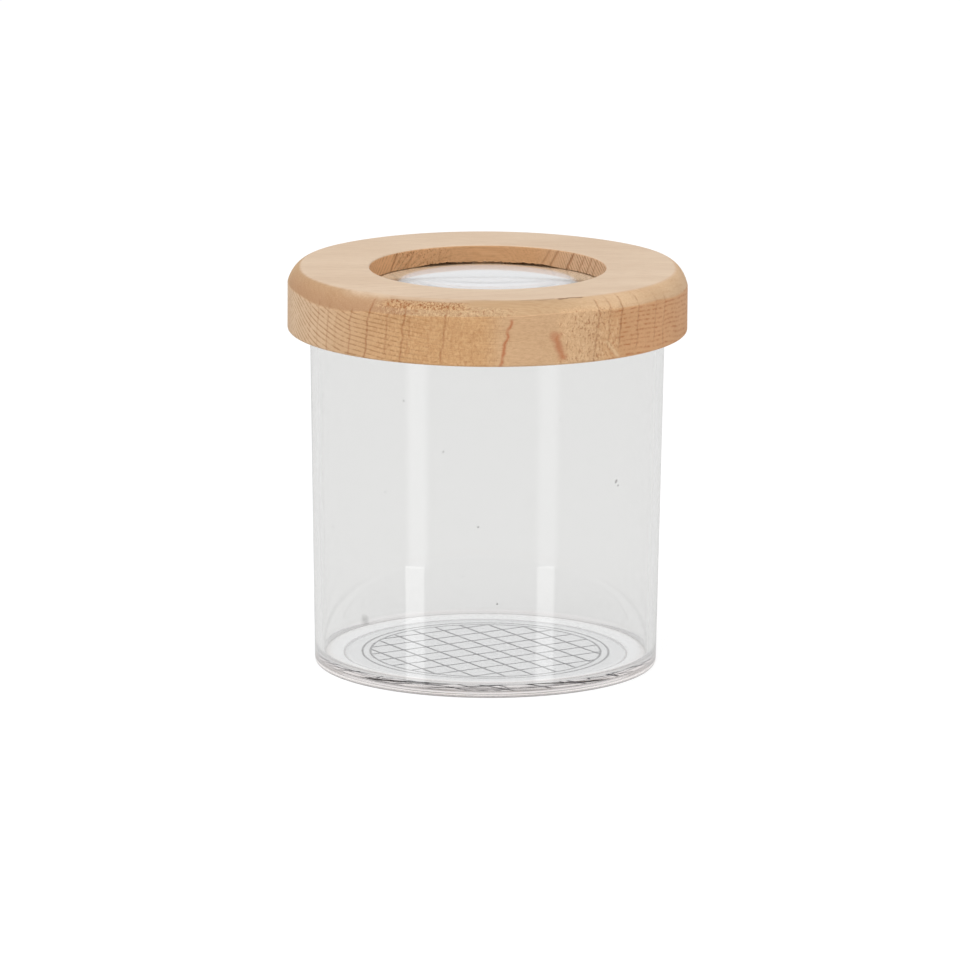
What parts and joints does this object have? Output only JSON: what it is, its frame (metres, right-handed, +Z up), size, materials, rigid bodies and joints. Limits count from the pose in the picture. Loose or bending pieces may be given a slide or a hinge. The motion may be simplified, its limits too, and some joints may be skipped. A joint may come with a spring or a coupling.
{
  "type": "bug catcher jar",
  "caption": "Clear round jar with a measuring grid under its floor and a lift-off wooden lid that holds a magnifying lens in its window.",
  "frame": {"origin": "centre of the foot, on the plane the jar stands on", "axes": "+Z up along the jar's axis of turning; +Y points away from the side that the picture shows; the lid's wood grain runs along X"},
  "size_m": [0.0748, 0.0748, 0.0753],
  "materials": {
    "clear_plastic": "clear moulded plastic, glossy, with faint handling marks",
    "printed_ink": "thin dark grey printed line",
    "beech_wood": "bare light hardwood, sanded top, rough end grain on the side",
    "lens_plastic": "clear polished optical plastic",
    "ring_plastic": "plain off-white plastic, satin"
  },
  "bodies": {
    "jar": {"jar": "clear_plastic", "measuring_grid": "printed_ink"},
    "lid": {"lid_ring": "beech_wood", "magnifying_lens": "lens_plastic", "lens_retaining_ring": "ring_plastic"}
  },
  "joints": [
    {"name": "lid_lift", "type": "slide", "parent": "jar", "child": "lid", "axis": [0, 0, 1], "range_m": [0, 0.08]}
  ]
}
